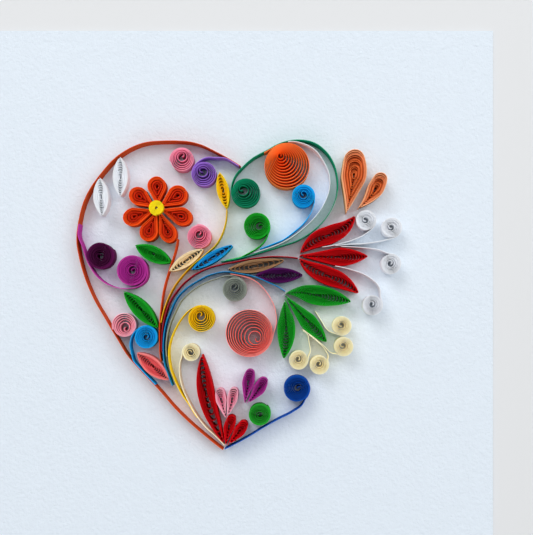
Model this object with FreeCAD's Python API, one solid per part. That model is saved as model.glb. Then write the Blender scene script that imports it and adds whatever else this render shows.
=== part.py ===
import FreeCAD, Part
import os
from collections import namedtuple
from math import acos, atan2, cos, hypot, pi, radians, remainder, sin

# Quilled paper heart on a square white card. Narrow paper strips stand on edge on the card, each
# rolled into a coil, pinched into a leaf or petal, or left as an open scroll, and glued down.
# Millimetres. The origin is the middle of the card's underside, +X is the picture's right,
# +Y its top and +Z up, away from the card. Places on the card are measured from its middle.

os.makedirs("parts", exist_ok=True)

# The card and the paper.
card_side = 150.0
card_thickness = 0.5
strip_height = 5.0
paper = 0.16
glue_gap = 0.05

# How the strips are rolled and pinched: radius of the eye, radius of a fold, the least gap between
# the turns of a coil and of a leaf, and how evenly a coil has relaxed, where 1 is even turns and
# less is turns that open towards the eye.
eye = 0.4
fold = 0.13
coil_gap = 0.05
leaf_gap = 0.04
relaxed = 0.65

# Widths of the round coils.
orange_roll_width = 13.4
coral_coil_width = 13.9
magenta_coil_width = 8.8
teal_coil_width = 8.4
green_coil_width = 7.7
plum_coil_width = 7.8
yellow_coil_width = 7.8
blue_coil_width = 7.7
violet_coil_width = 7.2
pink_coil_width = 7.0
sky_coil_width = 6.7
grey_coil_width = 7.1
small_green_coil_width = 6.4
ivory_coil_width = 5.2
spray_coil_width = 5.6
white_coil_width = 5.9

# Widths of the leaves, petals and drops at their widest.
salmon_leaf_width = 4.6
green_leaf_width = 4.6
white_leaf_width = 4.4
yellow_leaf_width = 3.6
ivory_leaf_width = 3.6
sky_leaf_width = 3.1
tan_leaf_width = 3.7
purple_leaf_width = 4.4
dark_red_leaf_width = 4.8
long_leaf_upper_width = 5.7
long_leaf_middle_width = 4.8
long_leaf_lower_width = 5.2
red_petal_width = 5.2
large_drop_width = 7.2
small_drop_width = 4.7
pink_lobe_width = 3.05
red_lobe_width = 3.15
purple_lobe_width = 3.5

# The flower.
flower_middle = (-21.6, 22.9)
petal_start = 0.9
petal_belly = 0.66
button_width = 4.3
button_height = 2.5

Station = namedtuple("Station", "x y heading")


def beside(station, distance):
    """A station moved to its left by a distance, or to its right where that is negative."""
    x = station.x - distance * sin(station.heading)
    y = station.y + distance * cos(station.heading)
    return Station(x, y, station.heading)


def turn_of(a, b):
    """The angle through which the one arc from station a to station b turns, left positive."""
    chord = atan2(b.y - a.y, b.x - a.x)
    return 2 * remainder(chord - a.heading, 2 * pi)


def part_way(a, b, share):
    """The station at a share of the arc from a to b."""
    turn = turn_of(a, b)
    if abs(turn) < 1e-7:
        return Station(a.x + (b.x - a.x) * share, a.y + (b.y - a.y) * share, a.heading)
    radius = hypot(b.x - a.x, b.y - a.y) / (2 * sin(turn / 2))
    heading = a.heading + turn * share
    x = a.x + radius * (sin(heading) - sin(a.heading))
    y = a.y - radius * (cos(heading) - cos(a.heading))
    return Station(x, y, heading)


def arc_length(a, b):
    """The length of the arc from a to b."""
    chord = hypot(b.x - a.x, b.y - a.y)
    half = turn_of(a, b) / 2
    return chord if abs(half) < 1e-7 else chord * half / sin(half)


def joint(a, b):
    """The station where two equal-armed arcs from a to b meet, so that the line stays smooth."""
    dx, dy = b.x - a.x, b.y - a.y
    tx, ty = cos(a.heading) + cos(b.heading), sin(a.heading) + sin(b.heading)
    along = dx * tx + dy * ty
    square = dx * dx + dy * dy
    spread = 2 * (1 - cos(a.heading - b.heading))
    arm = square / (along + (along * along + spread * square) ** 0.5)
    ax, ay = a.x + arm * cos(a.heading), a.y + arm * sin(a.heading)
    bx, by = b.x - arm * cos(b.heading), b.y - arm * sin(b.heading)
    return Station((ax + bx) / 2, (ay + by) / 2, atan2(by - ay, bx - ax))


def joined(stations):
    """Stations with a joint added between each two, so that arcs can link them smoothly."""
    line = [stations[0]]
    for a, b in zip(stations, stations[1:]):
        line += [joint(a, b), b]
    return line


def angle(a, b):
    return atan2(b[1] - a[1], b[0] - a[0])


def through(points, start=None, end=None):
    """A smooth line of arcs through points. At each it runs as the circle through its neighbours does."""
    headings = []
    for a, b, c in zip(points, points[1:], points[2:]):
        headings.append(angle(a, b) + remainder(angle(b, c) - angle(a, c), 2 * pi))
    first = angle(points[0], points[1])
    last = angle(points[-2], points[-1])
    if start is None:
        start = first + remainder(first - headings[0], 2 * pi) if headings else first
    if end is None:
        end = last + remainder(last - headings[-1], 2 * pi) if headings else last
    headings = [start] + headings + [end]
    return joined([Station(x, y, heading) for (x, y), heading in zip(points, headings)])


def nearest(path, spot):
    """Where on a path a spot is nearest: the number of the arc plus the share along it."""
    best = None
    for number, (a, b) in enumerate(zip(path, path[1:])):
        turn = turn_of(a, b)
        if abs(turn) < 1e-7:
            length = hypot(b.x - a.x, b.y - a.y)
            share = ((spot[0] - a.x) * cos(a.heading) + (spot[1] - a.y) * sin(a.heading)) / length
        else:
            radius = arc_length(a, b) / turn
            side = 1 if radius > 0 else -1
            across = spot[0] - (a.x - radius * sin(a.heading))
            up = spot[1] - (a.y + radius * cos(a.heading))
            share = remainder(atan2(side * across, -side * up) - a.heading, 2 * pi) / turn
        share = min(max(share, 0), 1)
        there = part_way(a, b, share)
        distance = hypot(there.x - spot[0], there.y - spot[1])
        if best is None or distance < best[0]:
            best = (distance, number + share)
    return best[1]


def station_at(path, place):
    """The station at a place that nearest() gave."""
    number = min(int(place), len(path) - 2)
    return part_way(path[number], path[number + 1], place - number)


def alongside(path, start, stop, side):
    """The stretch of a path from near start to near stop, moved aside by side strips' spacings."""
    first, last = nearest(path, start), nearest(path, stop)
    low, high = min(first, last), max(first, last)
    between = [path[n] for n in range(int(low) + 1, int(high) + 1) if low + 1e-6 < n < high - 1e-6]
    stretch = [station_at(path, low)] + between + [station_at(path, high)]
    stretch = [beside(station, side * (paper + glue_gap)) for station in stretch]
    if first > last:
        stretch = [Station(x, y, heading + pi) for x, y, heading in reversed(stretch)]
    return stretch


def onwards(path, points, then=(), end=None):
    """A path that goes on smoothly through points and then, if given, along a stretch of stations."""
    spots = [(path[-1].x, path[-1].y)] + list(points)
    if then:
        spots.append((then[0].x, then[0].y))
        end = then[0].heading
    return path + through(spots, path[-1].heading, end)[1:] + list(then[1:])


def against(path, spot, across):
    """The centre of a coil of a width that touches a path, on the line from it through a spot."""
    foot = station_at(path, nearest(path, spot))
    distance = hypot(spot[0] - foot.x, spot[1] - foot.y)
    share = (across / 2 + paper / 2 + glue_gap) / distance
    return (foot.x + (spot[0] - foot.x) * share, foot.y + (spot[1] - foot.y) * share)


def coil(centre, across, off=0.0, towards=90.0, leaves=0.0, hand=1, even=relaxed, turns=None):
    """Middle line of a rolled strip, from its eye out to where it leaves the roll.

    Half circles meet on one line through the eye. The eye lies off the centre by a distance, towards
    an angle in degrees: the turns are pressed together on that side and open on the other. even below
    1 opens them towards the eye too, as a roll does when it relaxes. leaves is the angle of the last
    contact, and hand is 1 where the strip runs out counterclockwise and -1 where it runs clockwise.
    Without a number of turns it has as many as the least gap allows.
    """
    rim = across / 2 - paper / 2
    if turns is None:
        turns = int(even * (rim - off - eye) / (paper + coil_gap))
    open_side = radians(towards) + pi
    last_part = (hand * (radians(leaves) - open_side)) % (2 * pi)
    half_turns = 2 * turns + last_part / pi
    middle_x = centre[0] + off * cos(radians(towards))
    middle_y = centre[1] + off * sin(radians(towards))

    def meeting(number):
        side = 1 if number % 2 == 0 else -1
        reach = eye + (rim + side * off - eye) * (number / half_turns) ** even
        x = middle_x + side * reach * cos(open_side)
        y = middle_y + side * reach * sin(open_side)
        return Station(x, y, open_side + (0 if side == 1 else pi) + hand * pi / 2)

    whole = int(half_turns)
    path = [meeting(number) for number in range(whole + 1)]
    rest = half_turns - whole
    if rest > 0.01:
        path.append(part_way(path[-1], meeting(whole + 1), rest))
    return path


def quarter(reach, half, end_radius, belly_radius):
    """A quarter of a pinched turn, from its end on the axis to its belly: end arc, side, belly arc."""
    ax, by = end_radius - reach, half - belly_radius
    spread = max(-1.0, (end_radius - belly_radius) / hypot(ax, by))
    normal = atan2(by, ax) - acos(spread)
    side = normal + pi / 2
    near = Station(reach - end_radius + end_radius * cos(normal), end_radius * sin(normal), side)
    far = Station(belly_radius * cos(normal), by + belly_radius * sin(normal), side)
    stations = [Station(reach, 0, pi / 2), near]
    if hypot(far.x - near.x, far.y - near.y) > 1e-4:
        stations.append(far)
    return stations + [Station(0, half, pi)]


def on_spine(spine, station):
    """A station of the straight shape carried onto the curved line through its base and tip."""
    left = station.x
    for a, b in zip(spine, spine[1:]):
        length = arc_length(a, b)
        if left <= length or b is spine[-1]:
            break
        left -= length
    share = left / length
    bend = turn_of(a, b) / length
    foot = beside(part_way(a, b, share), station.y)
    ahead = (1 - bend * station.y) * cos(station.heading)
    return Station(foot.x, foot.y, foot.heading + atan2(sin(station.heading), ahead))


def pinched(spots, across, belly=0.5, base_radius=fold, tip_radius=fold, wedge=0.0, turns=None):
    """Middle line of a roll pinched at its ends, from its eye out to its tip.

    spots are its base, its tip and, on a curved leaf, what its middle line passes between them. The
    belly is the share of the length where it is widest. On each side the turns lie against each other
    round one centre, and at the ends they are rounder the further in they are. With wedge above 0 the
    sides are straight at the base, and wedge is the belly's radius there in half widths.
    """
    spine = through(spots)
    length = sum(arc_length(a, b) for a, b in zip(spine, spine[1:]))
    half = across / 2 - paper / 2
    reaches = (belly * length - paper / 2, (1 - belly) * length - paper / 2)
    end_radii = (base_radius, tip_radius)
    if turns is None:
        turns = int((half - eye) / (paper + leaf_gap))
    half_turns = 2 * turns

    def width_of(number):
        return eye + (half - eye) * number / (half_turns - 1)

    def side_quarter(end, number, meeting):
        width = width_of(number)
        share = meeting / half_turns
        reach = eye + (reaches[end] - eye) * share
        radius = end_radii[end]
        if wedge and end == 0:
            end_radius = min(radius * share + eye * (1 - share), 0.9 * width)
            return quarter(reach, width, end_radius, (1 + (wedge - 1) * share) * width)
        flat = ((reaches[end] - radius) ** 2 / (half - radius) + radius + half) / 2 - half

        def sharpest(width):
            return radius + ((width - radius) * (2 * flat + width - radius)) ** 0.5

        if radius == fold and meeting >= half_turns - 2:
            reach = sharpest(width_of(meeting - 1))
        elif radius == fold:
            reach = eye + (sharpest(width_of(half_turns - 3)) - eye) * meeting / (half_turns - 2)
        end_radius = (2 * flat * width + width * width - reach * reach) / (2 * (flat + width - reach))
        return quarter(reach, width, min(end_radius, reach), flat + width)

    path = [Station(reaches[0] + paper / 2 - eye, 0, -pi / 2)]
    for number in range(half_turns):
        start, stop = number % 2, 1 - number % 2
        over = 1 if start == 1 else -1
        opening = side_quarter(start, number, number)
        closing = [Station(-x, y, -heading) for x, y, heading in side_quarter(stop, number, number + 1)]
        for x, y, heading in opening[1:] + closing[-2::-1]:
            place = reaches[0] + paper / 2 + over * x
            path.append(Station(place, over * y, heading + (0 if over == 1 else pi)))
    path = path[:1] + [b for a, b in zip(path, path[1:]) if hypot(b.x - a.x, b.y - a.y) > 1e-3]
    if len(spots) == 2:
        return [on_spine(spine, station) for station in path]
    fine = [path[0]]
    for a, b in zip(path, path[1:]):
        parts = 1 + int(arc_length(a, b) / 2.5)
        fine += [part_way(a, b, (n + 1) / parts) for n in range(parts)]
    return joined([on_spine(spine, station) for station in fine])


def line_at(path, distance):
    """The edges of a path moved to its left by a distance."""
    edges = []
    for a, b in zip(path, path[1:]):
        ends = [beside(a, distance), beside(part_way(a, b, 0.5), distance), beside(b, distance)]
        start, middle, stop = [FreeCAD.Vector(end.x, end.y, 0) for end in ends]
        if abs(turn_of(a, b)) < 1e-5:
            edges.append(Part.LineSegment(start, stop).toShape())
        else:
            edges.append(Part.Arc(start, middle, stop).toShape())
    return edges


def strip(path, height=strip_height, foot=card_thickness):
    """A paper strip standing on edge along a path, as a solid."""
    caps = []
    for station in (path[-1], path[0]):
        sides = [beside(station, side * paper / 2) for side in (1, -1)]
        caps.append(Part.LineSegment(*[FreeCAD.Vector(end.x, end.y, 0) for end in sides]).toShape())
    outline = line_at(path, paper / 2) + [caps[0]] + line_at(path, -paper / 2)[::-1] + [caps[1]]
    solid = Part.Face(Part.Wire(outline)).extrude(FreeCAD.Vector(0, 0, height))
    solid.translate(FreeCAD.Vector(0, 0, foot))
    return solid


def save(name, *solids):
    """Write one node: a solid, or a group of like solids that stand apart."""
    shape = solids[0] if len(solids) == 1 else Part.makeCompound(solids)
    shape.exportStep("parts/" + name + ".step")
    print(name, len(solids), round(sum(solid.Volume for solid in solids), 2))


# The card is one sheet of heavy white paper, square, with its corners cut sharp.
card = Part.makeBox(card_side, card_side, card_thickness,
                    FreeCAD.Vector(-card_side / 2, -card_side / 2, 0))
save("card", card)

# The left half of the heart is one long orange strip, from the heart's point up the left side and
# over the left lobe to the notch.
outline = through([(-3.0, -45.7), (-7.7, -42.0), (-11.7, -38.6), (-16.0, -34.5), (-21.2, -28.6),
                   (-26.5, -23.0), (-30.0, -19.0), (-33.0, -14.2), (-36.5, -8.3), (-39.6, -2.9),
                   (-42.0, 2.6), (-43.7, 8.3), (-44.6, 14.0), (-44.1, 19.0), (-41.9, 26.5),
                   (-38.3, 32.1), (-32.4, 38.3), (-26.9, 41.2), (-18.7, 42.2), (-10.6, 41.5),
                   (-4.1, 38.6), (2.0, 35.0)])
save("orange_outline", strip(outline))

# The teal strip is rolled at its inner end and makes the whole right lobe.
teal = onwards(coil((3.5, 27.5), teal_coil_width, 1.5, 140, leaves=190, hand=-1),
               [(-0.4, 30.3), (0.6, 32.5), (2.6, 34.8), (5.6, 37.4), (8.9, 39.2), (13.8, 41.7),
                (18.7, 42.5), (23.1, 41.6), (26.5, 39.0), (28.6, 35.6), (29.6, 31.5), (29.6, 28.0),
                (28.3, 23.6), (25.9, 19.8), (22.6, 16.6), (18.0, 13.8), (13.9, 12.4), (9.8, 11.1),
                (5.7, 9.9), (0.3, 8.5), (-3.6, 7.9)])
save("teal_scroll", strip(teal))

# Five stems run together down the neck of the bouquet.
red_stem = through([(18.3, 8.9), (11.2, 9.35), (5.7, 8.8), (0.3, 7.8), (-3.0, 7.2), (-6.8, 6.2),
                    (-10.0, 4.8), (-13.1, 2.7), (-16.1, -0.4), (-17.9, -3.1), (-19.1, -6.0),
                    (-19.9, -9.2), (-20.35, -12.5), (-20.5, -17.8)])
save("red_stem", strip(red_stem))
orange_stem = through([(-16.0, 14.4), (-16.2, 12.9), (-16.5, 11.4), (-17.4, 8.4), (-18.7, 4.4),
                       (-19.8, 0.5), (-20.6, -4.6), (-21.05, -9.5), (-21.1, -15.0), (-20.95, -18.5),
                       (-20.6, -20.6)])
save("orange_stem", strip(orange_stem))
yellow_stem = through([(-2.0, 22.8), (-2.4, 18.6), (-4.7, 13.2), (-8.3, 9.7), (-11.9, 6.7),
                       (-14.4, 4.1), (-16.8, 1.0), (-18.6, -2.4), (-19.9, -6.0), (-20.7, -9.5)])
save("yellow_stem", strip(yellow_stem))
sky_stem = through([(14.7, -0.6), (12.5, 0.8), (9.8, 2.0), (7.1, 3.2), (4.4, 4.0), (1.0, 4.6),
                    (-2.4, 5.0), (-6.8, 4.1), (-10.6, 2.2), (-13.5, 0.3), (-16.2, -2.5),
                    (-18.0, -6.3), (-19.25, -9.7), (-19.85, -12.9), (-20.05, -17.3), (-19.6, -21.6),
                    (-18.5, -24.6), (-17.4, -27.5)])
save("sky_stem", strip(sky_stem))
grey = onwards(coil((0.3, 0.0), grey_coil_width, 0.8, 100, leaves=60, hand=1),
               [(-1.3, 3.9), (-5.5, 2.9), (-8.1, 1.9), (-10.6, 0.6), (-13.1, -1.3), (-15.0, -3.3),
                (-16.9, -6.9), (-18.3, -10.3), (-19.0, -13.5), (-19.25, -16.7), (-19.05, -19.2)])
save("grey_scroll", strip(grey))

# Scrolls that end along another strip: each is a roll whose outer end is left long.
sky_low = onwards(coil((-24.9, -13.6), sky_coil_width, leaves=125, hand=1),
                  [(-28.7, -12.9), (-29.5, -15.6), (-29.1, -18.1)],
                  alongside(outline, (-27.6, -20.7), (-21.9, -26.9), -1))
save("sky_scroll_low", strip(sky_low))
magenta = onwards(coil((-28.9, 5.3), magenta_coil_width, 0.15, 0, leaves=10, hand=-1, turns=9),
                  [(-24.9, 2.9), (-27.4, 0.7), (-30.4, 0.2), (-34.1, 0.7), (-38.1, 2.9),
                   (-41.3, 7.3), (-42.8, 11.5)],
                  alongside(outline, (-43.9, 16.6), (-43.9, 18.6), -1))
save("magenta_scroll", strip(magenta))
violet = onwards(coil((-8.4, 32.8), violet_coil_width, 1.2, 120, leaves=170, hand=-1),
                 [(-9.3, 36.8), (-7.6, 37.5), (-5.7, 37.5)],
                 alongside(outline, (-1.5, 37.0), (1.6, 35.2), -1))
save("violet_scroll", strip(violet))
white_arc = onwards([beside(station_at(teal, nearest(teal, (15.5, 42.0))), -paper - glue_gap)],
                    [(19.7, 41.5), (23.1, 39.7), (25.5, 36.6), (27.3, 32.2), (27.3, 28.7),
                     (25.9, 24.6), (23.1, 20.5), (19.7, 17.2), (15.0, 13.9), (11.2, 12.15),
                     (8.4, 11.2), (5.7, 10.3)])
save("white_arc", strip(white_arc))
orange_roll_middle = against(teal, (15.3, 34.8), orange_roll_width)
orange_roll = onwards(coil(orange_roll_middle, orange_roll_width, 3.9, 122, leaves=125, hand=1, even=1.0),
                      [], alongside(teal, (10.0, 39.8), (8.7, 38.9), -1))
save("orange_roll", strip(orange_roll))
sky_high_middle = against(orange_roll, (19.9, 26.4), sky_coil_width)
sky_high_bend = (sky_high_middle[0] + 2.7, sky_high_middle[1] - 3.4)
sky_high = onwards(coil(sky_high_middle, sky_coil_width, 0.7, 85, leaves=0, hand=-1),
                   [sky_high_bend, (20.3, 19.2), (16.9, 16.1), (13.9, 14.0), (11.2, 12.9),
                    (7.5, 11.5)])
save("sky_scroll_high", strip(sky_high))
green = onwards(coil((6.6, 18.0), green_coil_width, 1.0, 0, leaves=-20, hand=-1),
               [(9.0, 14.0), (7.9, 12.7), (6.5, 11.6), (4.1, 10.2)],
               alongside(teal, (1.5, 8.9), (-2.2, 8.1), -1))
save("green_scroll", strip(green))
coral = onwards(coil((4.4, -12.4), coral_coil_width, 2.9, -38, leaves=-10, hand=1, turns=9),
                [(12.2, -9.2), (12.1, -7.2), (11.6, -4.9), (10.25, -2.1), (8.65, 0.1),
                (7.0, 1.75), (5.4, 2.8), (3.7, 3.45), (2.0, 3.85), (-0.9, 4.35)])
save("coral_scroll", strip(coral))
ivory = onwards(coil((-12.1, -18.0), ivory_coil_width, 0.3, 180, leaves=180, hand=1),
                [(-15.4, -21.7), (-15.3, -24.8), (-14.5, -28.2), (-12.9, -31.8), (-10.3, -36.3),
                 (-7.7, -39.5), (-5.7, -41.3), (-3.7, -43.2), (-2.6, -44.4)])
save("ivory_scroll", strip(ivory))
yellow = onwards(coil((-9.2, -8.4), yellow_coil_width, 1.2, 110, leaves=100, hand=1),
                 [(-12.1, -5.6), (-14.9, -8.4), (-16.9, -11.8), (-18.0, -14.7), (-18.5, -17.5),
                  (-18.4, -20.3), (-17.9, -22.9), (-16.8, -25.8), (-15.3, -28.9)],
                 alongside(ivory, (-11.6, -34.2), (-10.2, -36.4), -1))
save("yellow_scroll", strip(yellow))
blue = onwards(coil((18.0, -28.3), blue_coil_width, 0.5, 0, leaves=-40, hand=-1),
               [(19.3, -33.2), (17.0, -34.8), (11.8, -37.5), (8.2, -39.55), (4.7, -41.7),
                (1.1, -43.7), (-2.5, -45.5)])
save("blue_scroll", strip(blue))

# Free coils.
pink_low_middle = against(outline, (-30.8, -10.0), pink_coil_width)
save("pink_coil_low", strip(coil(pink_low_middle, pink_coil_width, 1.1, -65, leaves=200)))
plum_middle = against(magenta, (-38.6, 9.3), plum_coil_width)
save("plum_coil", strip(coil(plum_middle, plum_coil_width, 0.2, 200, leaves=30)))
save("pink_coil_top", strip(coil((-14.7, 36.8), pink_coil_width, 1.4, 90, leaves=180)))
save("green_coil_low", strip(coil((7.4, -35.6), small_green_coil_width, 0.3, -90, leaves=45)))

# Leaves: rolls pinched at both ends.
save("salmon_leaf", strip(pinched([(-27.6, -18.1), (-18.5, -25.9)], salmon_leaf_width)))
save("green_leaf_low", strip(pinched([(-31.3, -0.7), (-21.6, -11.0)], green_leaf_width)))
save("green_leaf_high", strip(pinched([(-28.0, 12.4), (-17.9, 7.6)], green_leaf_width)))
save("white_leaf_left", strip(pinched([(-38.1, 31.7), (-37.5, 20.8)], white_leaf_width)))
save("white_leaf_right", strip(pinched([(-32.3, 37.6), (-32.3, 26.4)], white_leaf_width)))
save("yellow_leaf", strip(pinched([(-4.1, 33.3), (-2.1, 23.1)], yellow_leaf_width)))
save("sky_leaf", strip(pinched([(-11.8, 5.5), (-0.1, 12.6)], sky_leaf_width)))
save("tan_leaf", strip(pinched([(-1.5, 5.7), (5.7, 6.5), (14.6, 8.3)], tan_leaf_width, 0.45)))
save("purple_leaf", strip(pinched([(6.4, 3.9), (19.8, 4.0)], purple_leaf_width)))
save("dark_red_leaf", strip(pinched([(-9.0, -18.6), (-8.6, -25.4), (-7.3, -32.5), (-4.7, -39.7),
                                     (-2.9, -43.8)], dark_red_leaf_width, 0.42)))
ivory_leaf = pinched([(-18.2, 5.1), (-8.6, 11.4)], ivory_leaf_width)
save("ivory_leaf", strip(ivory_leaf))
pink_middle = against(ivory_leaf, (-9.8, 14.8), pink_coil_width)
save("pink_coil_middle", strip(coil(pink_middle, pink_coil_width, 1.0, 95, leaves=100)))

# Three long green leaves and three red petals fan out from the ends of two stems.
save("long_leaf_upper", strip(pinched([(14.9, -1.3), (17.6, -0.95), (24.2, -1.8), (33.5, -3.6)],
                                      long_leaf_upper_width, wedge=5.0)))
save("long_leaf_middle", strip(pinched([(14.6, -1.9), (26.5, -15.1)], long_leaf_middle_width,
                                       0.55, wedge=1.6)))
save("long_leaf_lower", strip(pinched([(14.55, -2.8), (14.6, -5.2), (14.95, -10.0), (14.9, -14.0),
                                       (14.2, -19.8)], long_leaf_lower_width, wedge=4.0)))
save("red_petal_upper", strip(pinched([(19.1, 10.4), (23.9, 14.2), (27.7, 15.6), (32.0, 17.8),
                                       (34.6, 20.9)], red_petal_width)))
save("red_petal_middle", strip(pinched([(18.8, 9.5), (29.0, 9.2), (38.3, 9.3)], red_petal_width,
                                       0.57, wedge=1.6)))
save("red_petal_lower", strip(pinched([(18.7, 8.7), (21.3, 6.5), (26.8, 3.8), (30.2, 2.5),
                                       (35.6, -1.2)], red_petal_width)))

# Two drops: rolls pinched at one end.
save("orange_drop_large", strip(pinched([(32.2, 21.8), (33.6, 28.4), (34.5, 35.1), (34.0, 40.0)],
                                        large_drop_width, 0.6, tip_radius=2.9, wedge=2.0)))
save("orange_drop_small", strip(pinched([(35.6, 23.1), (39.7, 27.35), (42.5, 33.4)],
                                        small_drop_width, 0.6, tip_radius=1.9, wedge=2.0)))

# The flower has seven drop-shaped petals set round one point, pressed side against side. Each is
# given by its direction in degrees, the distance from the middle to its outer end and its width.
petals = [(92.0, 9.3, 5.3), (34.5, 9.8, 5.5), (-18.0, 10.2, 5.3), (-67.5, 10.4, 4.9),
          (-112.0, 9.9, 5.2), (-162.0, 10.4, 5.2), (146.0, 9.4, 5.2)]


def petal(towards, reach, across):
    """One petal, from near the flower's middle out to its round end."""
    ends = [(flower_middle[0] + r * cos(radians(towards)), flower_middle[1] + r * sin(radians(towards)))
            for r in (petal_start, reach)]
    return strip(pinched(ends, across, petal_belly, tip_radius=0.42 * across, wedge=1.0))


save("flower_petals", *[petal(*each) for each in petals])

# A short tight coil is glued on top of the petals' inner ends.
button = coil(flower_middle, button_width, leaves=270, even=1.0)
save("flower_button", strip(button, button_height, card_thickness + strip_height))

# Each heart is two drops side by side, with their folds together at the heart's point.
hearts = {
    "pink_heart_left": ([(-2.2, -36.4), (-3.55, -31.2), (-4.0, -28.0)], pink_lobe_width),
    "pink_heart_right": ([(-1.8, -36.45), (-0.3, -31.1), (0.3, -27.8)], pink_lobe_width),
    "red_heart_left": ([(-2.05, -44.2), (-1.8, -41.7), (-1.35, -39.55), (-0.7, -37.4),
                        (-0.4, -35.7)], red_lobe_width),
    "red_heart_right": ([(-1.6, -44.3), (0.15, -42.4), (1.75, -40.4), (2.8, -38.8), (3.2, -37.3)],
                        red_lobe_width),
    "purple_heart_left": ([(3.35, -32.4), (3.65, -29.8), (4.05, -27.4), (4.5, -24.95),
                           (5.05, -22.6)], purple_lobe_width),
    "purple_heart_right": ([(3.9, -32.5), (5.45, -30.9), (6.9, -29.0), (8.1, -27.1), (9.05, -25.0)],
                           purple_lobe_width),
}
for name, (spots, across) in hearts.items():
    save(name, strip(pinched(spots, across, 0.6, tip_radius=1.2, wedge=2.0)))

# Ivory and white scrolls spread from between the long leaves and the red petals. Two of the ivory
# ones end against the second, and the white ones fan out side by side.
spray_b = onwards(coil((31.3, -16.3), spray_coil_width, 0.3, 120, leaves=-120, hand=-1),
                  [(28.0, -18.2), (25.5, -15.95), (22.4, -13.4), (19.6, -11.4)])
save("ivory_spray_b", strip(spray_b))
save("ivory_spray_a", strip(onwards(
    coil((30.8, -10.4), spray_coil_width, 0.3, 120, leaves=-110, hand=-1),
    [(26.9, -11.7), (24.8, -8.7), (23.3, -6.3)])))
save("ivory_spray_c", strip(onwards(
    coil((24.4, -21.5), spray_coil_width, 0.3, 120, leaves=20, hand=1),
    [(27.0, -18.9), (26.3, -17.5)], alongside(spray_b, (24.0, -14.8), (21.5, -12.9), 1))))
save("ivory_spray_d", strip(onwards(
    coil((18.5, -20.1), spray_coil_width, 0.3, 120, leaves=0, hand=1),
    [(21.9, -17.4), (21.6, -15.6)], alongside(spray_b, (20.5, -12.3), (19.8, -11.6), 1))))
white_sprays = {
    "a": ((37.7, 19.6), -30, -1, [(37.9, 16.0), (33.5, 13.9), (29.0, 12.65), (25.3, 12.0)]),
    "b": ((45.0, 17.5), -60, -1, [(43.4, 14.1), (36.9, 13.0), (32.0, 12.75), (29.0, 12.38)]),
    "c": ((44.8, 7.2), 85, 1, [(41.1, 11.3), (36.9, 11.85), (32.7, 12.1), (30.6, 12.15)]),
    "d": ((39.6, -4.5), 20, 1, [(41.2, 1.1), (38.5, 3.5), (33.8, 5.5), (28.9, 6.6)]),
}
for name, (centre, leaves_at, hand, points) in white_sprays.items():
    path = onwards(coil(centre, white_coil_width, 0.3, 120, leaves_at, hand), points)
    save("white_spray_" + name, strip(path))
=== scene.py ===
from math import pi, radians

import bmesh
import bpy
import numpy as np
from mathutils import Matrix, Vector


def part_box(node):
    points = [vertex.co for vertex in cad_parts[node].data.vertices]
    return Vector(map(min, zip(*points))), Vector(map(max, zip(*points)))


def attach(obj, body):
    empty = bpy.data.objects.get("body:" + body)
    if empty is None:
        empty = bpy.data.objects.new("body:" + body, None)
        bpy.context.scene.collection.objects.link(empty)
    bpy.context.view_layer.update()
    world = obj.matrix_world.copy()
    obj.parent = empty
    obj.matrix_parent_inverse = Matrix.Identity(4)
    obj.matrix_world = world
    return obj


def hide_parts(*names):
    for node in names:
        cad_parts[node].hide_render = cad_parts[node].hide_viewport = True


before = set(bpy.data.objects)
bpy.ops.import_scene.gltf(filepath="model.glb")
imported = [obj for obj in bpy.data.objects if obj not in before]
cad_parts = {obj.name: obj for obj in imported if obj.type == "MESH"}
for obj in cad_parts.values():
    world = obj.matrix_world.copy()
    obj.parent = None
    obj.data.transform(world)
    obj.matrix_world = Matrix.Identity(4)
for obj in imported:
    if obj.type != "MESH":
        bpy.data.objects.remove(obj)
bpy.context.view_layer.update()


# The card is one sheet of heavy cold-pressed paper, bluish white, cut square with clean edges. It
# lies flat, and every strip is glued to its face on edge.
card_white = "#E4EEF8"
card_tooth = 0.0009
card_depth = 0.00028
cloud_scale = 450.0
fibre_scale = 6000.0
paper_roughness = 0.82
paper_gloss = 0.1


def paint(code):
    """A written colour such as #E9EFF8 as the linear red, green, blue and alpha of a shader socket."""
    parts = np.array([int(code[n:n + 2], 16) for n in (1, 3, 5)]) / 255
    linear = np.where(parts <= 0.04045, parts / 12.92, ((parts + 0.055) / 1.055) ** 2.4)
    return (*linear, 1)


def new_node(tree, kind, values=None, **settings):
    """A node with its settings and its unlinked sockets' values."""
    node = tree.nodes.new(kind)
    for name, value in settings.items():
        setattr(node, name, value)
    for name, value in (values or {}).items():
        node.inputs[name].default_value = value
    return node


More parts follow.
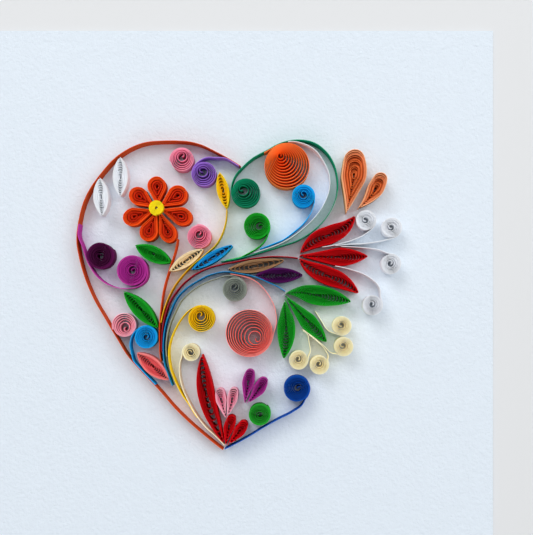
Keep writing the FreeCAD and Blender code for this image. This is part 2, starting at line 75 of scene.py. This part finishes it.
def paper_group():
    """The look of dyed paper: its colour, cloudy and flecked with fibres, and the height of its tooth.

    The rim colour turns into the second colour, painted shade of the turns that stand within, as the
    turns counted from the outer end pass the number given. The cut edge on top gets a painted highlight
    by a share, and a wall far down between two turns painted shade by one. Clouds and fibres each
    lighten or darken the result by a share of it.
    """
    group = bpy.data.node_groups.new("paper", "ShaderNodeTree")
    socket = group.interface.new_socket
    for name in ("Rim", "Shaded inner"):
        socket(name, in_out="INPUT", socket_type="NodeSocketColor")
    for name in ("Turns in", "Turns", "Cut", "Painted highlight", "Gap shade", "Painted shade", "Clouds", "Fibres", "Tooth"):
        socket(name, in_out="INPUT", socket_type="NodeSocketFloat")
    socket("Place", in_out="INPUT", socket_type="NodeSocketVector")
    socket("Colour", in_out="OUTPUT", socket_type="NodeSocketColor")
    socket("Height", in_out="OUTPUT", socket_type="NodeSocketFloat")
    given = new_node(group, "NodeGroupInput")
    result = new_node(group, "NodeGroupOutput")
    link = group.links.new
    depth = new_node(group, "ShaderNodeMath", operation="DIVIDE", use_clamp=True)
    link(given.outputs["Turns in"], depth.inputs[0])
    link(given.outputs["Turns"], depth.inputs[1])
    # Painted shade: the rim colour turns into the shaded inner colour as the turns counted in pass the
    # given number.
    colour_and_painted_shade = new_node(group, "ShaderNodeMix", data_type="RGBA")
    link(depth.outputs[0], colour_and_painted_shade.inputs["Factor"])
    link(given.outputs["Rim"], colour_and_painted_shade.inputs[6])
    link(given.outputs["Shaded inner"], colour_and_painted_shade.inputs[7])
    colour = colour_and_painted_shade.outputs[2]
    # Painted highlight on the cut top edge, and painted shade on the walls deep in the gaps between
    # turns.
    masks = [("Painted highlight", given.outputs["Cut"]), ("Painted shade", given.outputs["Gap shade"])]
    for share, scale, detail in (("Clouds", cloud_scale, 2.0), ("Fibres", fibre_scale, 3.0)):
        noise = new_node(group, "ShaderNodeTexNoise", {"Scale": scale, "Detail": detail})
        link(given.outputs["Place"], noise.inputs["Vector"])
        around = new_node(group, "ShaderNodeMath", {1: 0.5}, operation="SUBTRACT")
        link(noise.outputs["Fac"], around.inputs[0])
        masks.append((share, around.outputs[0]))
    for share, mask in masks:
        swing = new_node(group, "ShaderNodeMath", {2: 1.0}, operation="MULTIPLY_ADD")
        link(mask, swing.inputs[0])
        link(given.outputs[share], swing.inputs[1])
        shade = new_node(group, "ShaderNodeMix", {0: 1.0}, data_type="RGBA", blend_type="MULTIPLY")
        grey = new_node(group, "ShaderNodeCombineColor")
        for channel in range(3):
            link(swing.outputs[0], grey.inputs[channel])
        link(colour, shade.inputs[6])
        link(grey.outputs[0], shade.inputs[7])
        colour = shade.outputs[2]
    link(colour, result.inputs["Colour"])
    tooth = new_node(group, "ShaderNodeTexNoise", {"Detail": 3.0, "Roughness": 0.55})
    link(given.outputs["Place"], tooth.inputs["Vector"])
    link(given.outputs["Tooth"], tooth.inputs["Scale"])
    link(tooth.outputs["Fac"], result.inputs["Height"])
    return group


paper_look = paper_group()


def paper_material(name, rim, shaded_inner, turns=1.0, painted_highlight=0.25, painted_shade=0.25, clouds=0.12, fibres=0.16,
                   tooth=2500.0, depth=0.00002):
    """Matte paper: rim colour and the painted shade colour of the turns within, the shares named in
    paper_group, and its tooth as a bump.
    """
    material = bpy.data.materials.new(name)
    material.use_nodes = True
    tree = material.node_tree
    link = tree.links.new
    shader = tree.nodes["Principled BSDF"]
    shader.inputs["Roughness"].default_value = paper_roughness
    shader.inputs["Specular IOR Level"].default_value = paper_gloss
    look = new_node(tree, "ShaderNodeGroup", node_tree=paper_look)
    look.inputs["Rim"].default_value = paint(rim)
    look.inputs["Shaded inner"].default_value = paint(shaded_inner)
    for socket, value in (("Turns", turns), ("Painted highlight", painted_highlight), ("Painted shade", -painted_shade),
                          ("Clouds", clouds), ("Fibres", fibres), ("Tooth", tooth)):
        look.inputs[socket].default_value = value
    place = new_node(tree, "ShaderNodeTexCoord")
    link(place.outputs["Object"], look.inputs["Place"])
    for attribute, socket in (("turns_in", "Turns in"), ("cut", "Cut"), ("gap_shade", "Gap shade")):
        stored = new_node(tree, "ShaderNodeAttribute", attribute_name=attribute)
        link(stored.outputs["Fac"], look.inputs[socket])
    link(look.outputs["Colour"], shader.inputs["Base Color"])
    bump = new_node(tree, "ShaderNodeBump", {"Strength": 1.0, "Distance": depth})
    link(look.outputs["Height"], bump.inputs["Height"])
    link(bump.outputs["Normal"], shader.inputs["Normal"])
    return material


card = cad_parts["card"]
card_material = paper_material("card_paper", card_white, card_white, clouds=0.03, fibres=0.02,
                               tooth=1 / card_tooth, depth=card_depth)
for place in card.material_slots:
    place.material = card_material


# The left half of the heart is one orange strip, stood on edge and bent by hand, from the point up
# over the left lobe to the notch. It is cut paper, 5 mm wide.
outline_rim = "#D4501E"
paper = 0.00016
soft_edge = 0.00003
longest_step = 0.0007
sharpest_step = 0.17
turns_a_step = 2.3
ripple = 0.00003
ripple_lengths = np.array([0.0031, 0.0078, 0.019])
sink_power = 1.5
crease_angle = radians(50)
merge_distance = 1e-6
level_slack = 1e-5
doublings = 17
square_corner = 1.2
end_stretch = 0.003


def top_outlines(node):
    """The closed outlines of a strip's top edge, counterclockwise, and the heights of foot and top.

    The frame's triangles are merged in a copy. Those that lie level at the top keep the edges that
    only one of them has. Each vertex on these knows its next one, and jumping 1, 2, 4, 8 and more
    steps at a time gives every vertex its loop, and its rank on that loop.
    """
    work = bmesh.new()
    work.from_mesh(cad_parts[node].data)
    bmesh.ops.remove_doubles(work, verts=work.verts, dist=merge_distance)
    merged = bpy.data.meshes.new("merged")
    work.to_mesh(merged)
    work.free()
    spots = np.empty(len(merged.vertices) * 3)
    merged.vertices.foreach_get("co", spots)
    spots = spots.reshape(-1, 3)
    merged.calc_loop_triangles()
    corners = np.empty(len(merged.loop_triangles) * 3, np.int64)
    merged.loop_triangles.foreach_get("vertices", corners)
    corners = corners.reshape(-1, 3)
    bpy.data.meshes.remove(merged)
    foot, top = spots[:, 2].min(), spots[:, 2].max()
    level = corners[(spots[corners, 2] > top - level_slack).all(axis=1)]
    start = level.ravel()
    end = np.roll(level, -1, axis=1).ravel()
    many = len(spots)
    single = ~np.isin(start * many + end, end * many + start)
    following = np.arange(many)
    following[start[single]] = end[single]
    before = np.arange(many)
    before[end[single]] = start[single]
    loop, jump = np.arange(many), following
    for _ in range(doublings):
        loop = np.minimum(loop, loop[jump])
        jump = jump[jump]
    outlines = []
    for first in np.unique(loop[start[single]]):
        jump = following.copy()
        last = before[first]
        jump[last] = last
        left = np.ones(many, np.int64)
        left[last] = 0
        for _ in range(doublings):
            left = left + left[jump]
            jump = jump[jump]
        members = np.flatnonzero(loop == first)
        outlines.append(spots[members[np.argsort(-left[members])], :2])
    return outlines, foot, top


def turned(a, b):
    """The signed angle from directions a to directions b."""
    return np.arctan2(a[:, 0] * b[:, 1] - a[:, 1] * b[:, 0], (a * b).sum(axis=1))


def middle_line(outline):
    """The strip's middle line from its outer end to its eye, its left directions, and its turns.

    The two short edges with a square corner at each end are the cut ends. Between them one side is
    moved in by half the paper. Between its points runs a cubic curve that keeps their directions,
    each being the mean of the edges on both sides, weighted by length. The end that bends more over
    a short stretch is the eye, and turns are counted towards it.
    """
    edges = np.roll(outline, -1, axis=0) - outline
    length = np.hypot(*edges.T)
    corner = turned(np.roll(edges, 1, axis=0), edges)
    square = corner > square_corner
    cut_ends = square & np.roll(square, -1) & (abs(length - paper) < 0.2 * paper)
    first, last = np.flatnonzero(cut_ends)
    side = outline[first + 1:last + 1]
    edges = np.diff(side, axis=0)
    length = np.hypot(*edges.T)
    heading = np.vstack([edges[:1] / length[0], edges[1:] + edges[:-1], edges[-1:] / length[-1]])
    heading /= np.hypot(*heading.T)[:, None]
    heading[0] = 2 * edges[0] / length[0] - heading[1]
    heading[-1] = 2 * edges[-1] / length[-1] - heading[-2]
    heading /= np.hypot(*heading.T)[:, None]
    spots = side + paper / 2 * np.stack([-heading[:, 1], heading[:, 0]], axis=1)
    length = np.hypot(*np.diff(spots, axis=0).T)
    bend = abs(turned(heading[:-1], heading[1:]))
    parts = np.ceil(np.maximum(length / longest_step, bend / sharpest_step)).astype(int)
    span = np.repeat(np.arange(len(parts)), parts)
    share = ((np.arange(parts.sum()) - (np.cumsum(parts) - parts)[span]) / parts[span])[:, None]
    pull = length[span][:, None]
    rest = 1 - share
    path = (1 + 2 * share) * rest ** 2 * spots[span] + (1 + 2 * rest) * share ** 2 * spots[span + 1]
    path += pull * share * rest * (rest * heading[span] - share * heading[span + 1])
    path = np.vstack([path, spots[-1:]])
    reach = np.concatenate([[0], np.cumsum(np.hypot(*np.diff(path, axis=0).T))])
    ahead = np.gradient(path, reach, axis=0)
    ahead /= np.hypot(*ahead.T)[:, None]
    bends = np.concatenate([[0], np.cumsum(abs(turned(ahead[:-1], ahead[1:])))])
    near = np.interp(end_stretch, reach, bends)
    far = bends[-1] - np.interp(reach[-1] - end_stretch, reach, bends)
    if near > far:
        path, ahead = path[::-1], -ahead[::-1]
        reach, bends = reach[-1] - reach[::-1], bends[-1] - bends[::-1]
    return path, np.stack([-ahead[:, 1], ahead[:, 0]], axis=1), reach, bends / (2 * pi)


def strip_piece(node, material, sink=0.0, stagger=0.0, step=turns_a_step):
    """A paper strip: a profile with a softened top edge, carried along the strip's middle line.

    The top edge ripples along the strip by a sum of three waves. It sinks with the turns, by sink at
    the eye, and within each step's count of turns some stand lower by stagger. The faces at both cut
    ends close it.
    """
    outlines, foot, top = top_outlines(node)
    half, edge = paper / 2, soft_edge
    across = half * np.array([1, 1, 1, 0.75, 0.3, -0.3, -0.75, -1, -1, -1])
    below = edge * np.array([0, 0, 1, 0.28, 0, 0, 0.28, 1, 0, 0])
    rise = np.array([0, 0.5, 1, 1, 1, 1, 1, 1, 0.5, 0])
    # Where the painted highlight falls across the top of the profile.
    cut = np.array([0, 0, 0, 0.6, 1, 1, 0.6, 0, 0, 0])
    sides = len(across)
    draw = np.random.default_rng(sum(map(ord, node)))
    spots, faces, turns_in, cuts, offset = [], [], [], [], 0
    for outline in outlines:
        path, left, reach, turns = middle_line(outline)
        many = len(path)
        waves = draw.uniform(0, 2 * pi, 3)
        lengths = draw.uniform(0.8, 1.2, 3) * ripple_lengths
        swell = np.sin(2 * pi * reach[:, None] / lengths + waves).sum(axis=1) / 3
        drop = ripple * (1 + swell) + sink * (turns / turns[-1]) ** sink_power
        dips = 0.5 - 0.5 * np.cos(2 * pi * turns / step)
        drop += stagger * np.clip(turns / 2 - 0.5, 0, 1) * dips
        place = path[:, None] + across[None, :, None] * left[:, None]
        height = foot + rise * (top - foot - drop[:, None]) - below
        spots.append(np.dstack([place, height[..., None]]).reshape(-1, 3))
        turns_in.append(np.repeat(turns, sides))
        cuts.append(np.tile(cut, many))
        ring = offset + np.arange(many * sides).reshape(many, sides)
        beyond = np.roll(ring, -1, axis=1)
        walls = np.stack([ring[:-1], beyond[:-1], beyond[1:], ring[1:]], axis=-1).reshape(-1, 4)
        faces += walls.tolist() + [ring[0, ::-1].tolist(), ring[-1].tolist()]
        offset += many * sides
    mesh = bpy.data.meshes.new(node + "_paper")
    mesh.from_pydata(np.vstack(spots), [], faces)
    mesh.shade_smooth()
    mesh.set_sharp_from_angle(angle=crease_angle)
    turns_in, cuts, heights = np.concatenate(turns_in), np.concatenate(cuts), np.vstack(spots)[:, 2]
    # Painted shade mask: walls of the turns within darken towards the foot, as shade deep in the gaps.
    gap_shade = np.clip(turns_in, 0, 1) * np.clip((top - heights) / (top - foot), 0, 1)
    for attribute, values in (("turns_in", turns_in), ("cut", cuts), ("gap_shade", gap_shade)):
        mesh.attributes.new(attribute, "FLOAT", "POINT").data.foreach_set("value", values)
    mesh.materials.append(material)
    piece = bpy.data.objects.new(node + "_paper", mesh)
    bpy.context.scene.collection.objects.link(piece)
    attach(piece, "root")
    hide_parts(node)


strip_piece("orange_outline", paper_material("outline_paper", outline_rim, outline_rim))


# The right lobe is one dark green strip, rolled into a coil at its inner end and bent round in a
# wide loop that comes back under the stems.
teal_rim = "#109A70"
# The inner colour is painted shade between the turns.
teal_inner = "#0C8C62"
strip_piece("teal_scroll", paper_material("teal_paper", teal_rim, teal_inner, turns=4.0))


# Five strips run together down the neck of the bouquet. Four are plain, bent by hand. The grey one
# is rolled into a coil at its upper end, and its turns stand a little uneven, as in every coil here.
stem_colours = {
    "red_stem": ("crimson", "#B82030"),
    "orange_stem": ("orange_red", "#DC521C"),
    "yellow_stem": ("yellow", "#F2C020"),
    "sky_stem": ("sky_blue", "#1E90D0"),
}
for stem, (slot, rim) in stem_colours.items():
    strip_piece(stem, paper_material(stem + "_paper", rim, rim))
grey_rim = "#9CA49A"
# The inner colour is painted shade between the turns.
grey_inner = "#8E968C"
coil_stagger = 0.0006
coil_step = 2.2
grey_paper = paper_material("grey_paper", grey_rim, grey_inner, turns=4.0, painted_shade=0.6)
strip_piece("grey_scroll", grey_paper, 0.0, coil_stagger, coil_step)


# A white strip runs inside the right lobe, from under its top round to the stems. It is plain white
# paper, glued on edge like the rest.
white_rim = "#F6F9FE"
white_inner = "#F6F9FE"
white_paper = paper_material("white_paper", white_rim, white_inner, turns=8.0, painted_highlight=0.0,
                             painted_shade=0.0, clouds=0.04, fibres=0.05)
strip_piece("white_arc", white_paper)


# Scrolls are strips rolled from one end, with the other end left long and bent along a neighbour.
# Each has its own coloured paper, painted a little deeper in tone towards the eye of the roll as shade
# between the turns.
# Columns: colour slot, rim colour, inner colour of painted shade, turns to reach it.
scroll_colours = {
    "sky_scroll_low": ("sky_blue", "#18A8EC", "#1498DC", 5),
    "sky_scroll_high": ("sky_blue", "#14B4F8", "#10A4EC", 5),
    "magenta_scroll": ("magenta", "#C842AA", "#B42C98", 5),
    "violet_scroll": ("violet", "#AC7CE2", "#9868CC", 5),
    "green_scroll": ("green", "#1CB42C", "#18A026", 5),
    "coral_scroll": ("coral", "#FF9088", "#FF6E66", 6),
    "yellow_scroll": ("yellow", "#FFD820", "#FFC80C", 5),
    "ivory_scroll": ("ivory", "#FFF8D4", "#FFF0BC", 5),
    "blue_scroll": ("navy", "#1052B4", "#0C44A0", 4),
}
for scroll, (slot, rim, shaded_inner, turns) in scroll_colours.items():
    scroll_paper = paper_material(scroll + "_paper", rim, shaded_inner, turns, painted_shade=0.6)
    strip_piece(scroll, scroll_paper, 0.0, coil_stagger, coil_step)


# The big orange roll is pressed together at one side, so that its turns open towards the other. Its
# end is glued to the dark green strip.
roll_rim = "#FC803E"
# The inner colour is painted shade in the open turns.
roll_inner = "#FC5814"
strip_piece("orange_roll", paper_material("roll_paper", roll_rim, roll_inner, turns=10.0))


# Free coils are whole strips rolled up, with the outer end glued to the turn before it. They are
# glued down on edge.
# Columns: colour slot, rim colour, inner colour of painted shade, turns to reach it.
coil_colours = {
    "pink_coil_low": ("pink", "#FFB8C8", "#FF9CB0", 5),
    "pink_coil_middle": ("pink", "#FFA0BA", "#FF80A0", 5),
    "pink_coil_top": ("pink", "#FCA0BA", "#F884A6", 5),
    "plum_coil": ("plum", "#621250", "#480C3A", 4),
    "green_coil_low": ("green", "#2CAE34", "#22962A", 4),
}
for coil, (slot, rim, shaded_inner, turns) in coil_colours.items():
    coil_paper = paper_material(coil + "_paper", rim, shaded_inner, turns, painted_shade=0.6)
    strip_piece(coil, coil_paper, 0.0, coil_stagger, coil_step)


# Leaves are loose rolls pinched to a point at both ends. Their outer turns lie close and show as a
# bright rim, and the looser turns inside stand in each other's shade, painted in by a darker inner
# colour.
# Columns: colour slot, rim colour, inner colour of painted shade, turns to reach it.
leaf_colours = {
    "salmon_leaf": ("coral", "#F68E8A", "#E0585C", 4),
    "green_leaf_low": ("green", "#18A426", "#108A1C", 5),
    "green_leaf_high": ("green", "#18A426", "#108A1C", 5),
    "yellow_leaf": ("yellow", "#FFD81C", "#FCC00C", 5),
    "ivory_leaf": ("ivory", "#F8E4B8", "#EED09C", 5),
    "sky_leaf": ("sky_blue", "#1CA0E0", "#1488CC", 4),
    "tan_leaf": ("tan", "#B08862", "#8A6648", 4),
    "purple_leaf": ("plum", "#56105A", "#380840", 5),
    "dark_red_leaf": ("dark_red", "#C80410", "#A40208", 5),
    "long_leaf_upper": ("green", "#18A426", "#108A1C", 6),
    "long_leaf_middle": ("green", "#18A426", "#108A1C", 6),
    "long_leaf_lower": ("green", "#18A426", "#108A1C", 6),
}
leaf_sink = 0.0003
leaf_stagger = 0.00045
for leaf, (slot, rim, shaded_inner, turns) in leaf_colours.items():
    leaf_paper = paper_material(leaf + "_paper", rim, shaded_inner, turns)
    strip_piece(leaf, leaf_paper, sink=leaf_sink, stagger=leaf_stagger)
for leaf in ("white_leaf_left", "white_leaf_right"):
    strip_piece(leaf, white_paper, sink=leaf_sink, stagger=leaf_stagger)


# Three red petals fan out at the end of the red stem. They are loose rolls pinched at both ends, like
# the leaves.
# The inner colour is painted shade between the turns.
petal_red = paper_material("red_petal_paper", "#CE040E", "#A80208", turns=6.0)
for petal in ("red_petal_upper", "red_petal_middle", "red_petal_lower"):
    strip_piece(petal, petal_red, sink=leaf_sink, stagger=leaf_stagger)


# Two orange drops are pinched at the foot only and stay round at the top. Their turns stand in rings,
# pushed up and down by the finger that shaped them.
drop_stagger = 0.0013
drop_step = 3.6
# The inner colour and the strong darkening low in the rings are painted shade.
drop_paper = paper_material("drop_paper", "#FCBC8C", "#EC763C", turns=5.0, painted_shade=0.9)
for drop in ("orange_drop_large", "orange_drop_small"):
    strip_piece(drop, drop_paper, leaf_sink, drop_stagger, drop_step)


# The flower has seven drops set round its middle, and a short yellow coil glued on their ends.
flower_rim = "#F65A18"
# The inner colour, and the strong darkening of walls low between turns, are painted shade.
flower_inner = "#DC3010"
button_yellow = "#FCE41C"
petal_step = 3.0
flower_paper = paper_material("flower_paper", flower_rim, flower_inner, turns=6.0, painted_shade=0.9)
strip_piece("flower_petals", flower_paper, leaf_sink, drop_stagger, petal_step)
button_paper = paper_material("button_paper", button_yellow, button_yellow)
strip_piece("flower_button", button_paper)


# Three small hearts are made of two drops each, rolled loose, pinched at one end and glued down with
# their points together.
# Columns: colour slot, rim colour, inner colour of painted shade.
heart_colours = {
    "pink_heart": ("pink", "#FAB6C8", "#E27C98"),
    "red_heart": ("crimson", "#DC0412", "#B4020C"),
    "purple_heart": ("magenta", "#B83A9C", "#8C1C74"),
}
for heart, (slot, rim, shaded_inner) in heart_colours.items():
    heart_paper = paper_material(heart + "_paper", rim, shaded_inner, turns=4.0)
    for lobe in ("_left", "_right"):
        strip_piece(heart + lobe, heart_paper, sink=leaf_sink, stagger=leaf_stagger)


# The sprays are four ivory and four white strips. Each has a small coil rolled at one end, and the
# rest is left long and glued between the petals or leaves.
# The inner colour is painted shade between the turns.
ivory_paper = paper_material("ivory_spray_paper", "#FFF8D0", "#FFF0BC", turns=8.0, painted_shade=0.0)
for letter in "abcd":
    strip_piece("ivory_spray_" + letter, ivory_paper, 0.0, coil_stagger, coil_step)
    strip_piece("white_spray_" + letter, white_paper, 0.0, coil_stagger, coil_step)


# The floor is a plain pale board, level with the card's underside. It takes the shadows of the card.
floor_colour = "#E4E6E8"
floor_reach = 3.0
floor_mesh = bpy.data.meshes.new("floor")
floor_corners = [(-floor_reach, -floor_reach, 0), (floor_reach, -floor_reach, 0),
                 (floor_reach, floor_reach, 0), (-floor_reach, floor_reach, 0)]
floor_mesh.from_pydata(floor_corners, [], [(0, 1, 2, 3)])
floor_material = bpy.data.materials.new("floor")
floor_material.use_nodes = True
floor_material.node_tree.nodes["Principled BSDF"].inputs["Base Color"].default_value = paint(floor_colour)
floor_material.node_tree.nodes["Principled BSDF"].inputs["Roughness"].default_value = 0.9
floor_mesh.materials.append(floor_material)
floor = bpy.data.objects.new("floor", floor_mesh)
bpy.context.scene.collection.objects.link(floor)


# Soft studio light: a wide lamp at the upper left, weaker ones at the right and below, a weak one
# overhead and an even pale sky. Little comes from overhead, so that the gaps between turns stay dark.
lamps = {
    "main_lamp": (Vector((-0.6, 0.95, 1.1)), 0.9, 9.2),
    "right_lamp": (Vector((0.9, 0.5, 1.1)), 0.9, 5.4),
    "lower_lamp": (Vector((-0.2, -1.1, 1.1)), 0.9, 2.2),
    "upper_lamp": (Vector((0.1, 0.35, 1.2)), 0.9, 2.9),
}
sky_strength = 0.37
for name, (place, width, power) in lamps.items():
    lamp_data = bpy.data.lights.new(name, "AREA")
    lamp_data.shape = "DISK"
    lamp_data.size = width
    lamp_data.energy = power
    lamp = bpy.data.objects.new(name, lamp_data)
    lamp.location = place
    lamp.rotation_euler = (-place).to_track_quat("-Z", "Y").to_euler()
    bpy.context.scene.collection.objects.link(lamp)
world = bpy.data.worlds.new("studio")
world.use_nodes = True
world.node_tree.nodes["Background"].inputs["Color"].default_value = (1, 1, 1, 1)
world.node_tree.nodes["Background"].inputs["Strength"].default_value = sky_strength
bpy.context.scene.world = world
bpy.context.scene.view_settings.view_transform = "Standard"


# The camera hangs straight over the card and looks down, a little right of and below its middle.
# Its shift keeps the picture's frame. One pixel is 0.29 mm on the card.
picture_width = 533
camera_place = (0.01265, -0.0062)
camera_height = 0.25
metres_a_pixel = 0.00029
foot_pixel = (278, 311)
middle_pixel = (266.5, 267.5)
camera_data = bpy.data.cameras.new("camera")
camera_data.sensor_fit = "HORIZONTAL"
camera_data.sensor_width = 36.0
camera_data.lens = camera_height / metres_a_pixel * camera_data.sensor_width / picture_width
camera_data.shift_x = (middle_pixel[0] - foot_pixel[0]) / picture_width
camera_data.shift_y = (foot_pixel[1] - middle_pixel[1]) / picture_width
camera_data.clip_start = 0.01
camera = bpy.data.objects.new("camera", camera_data)
camera.location = (*camera_place, camera_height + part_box("card")[1][2])
bpy.context.scene.collection.objects.link(camera)
bpy.context.scene.camera = camera
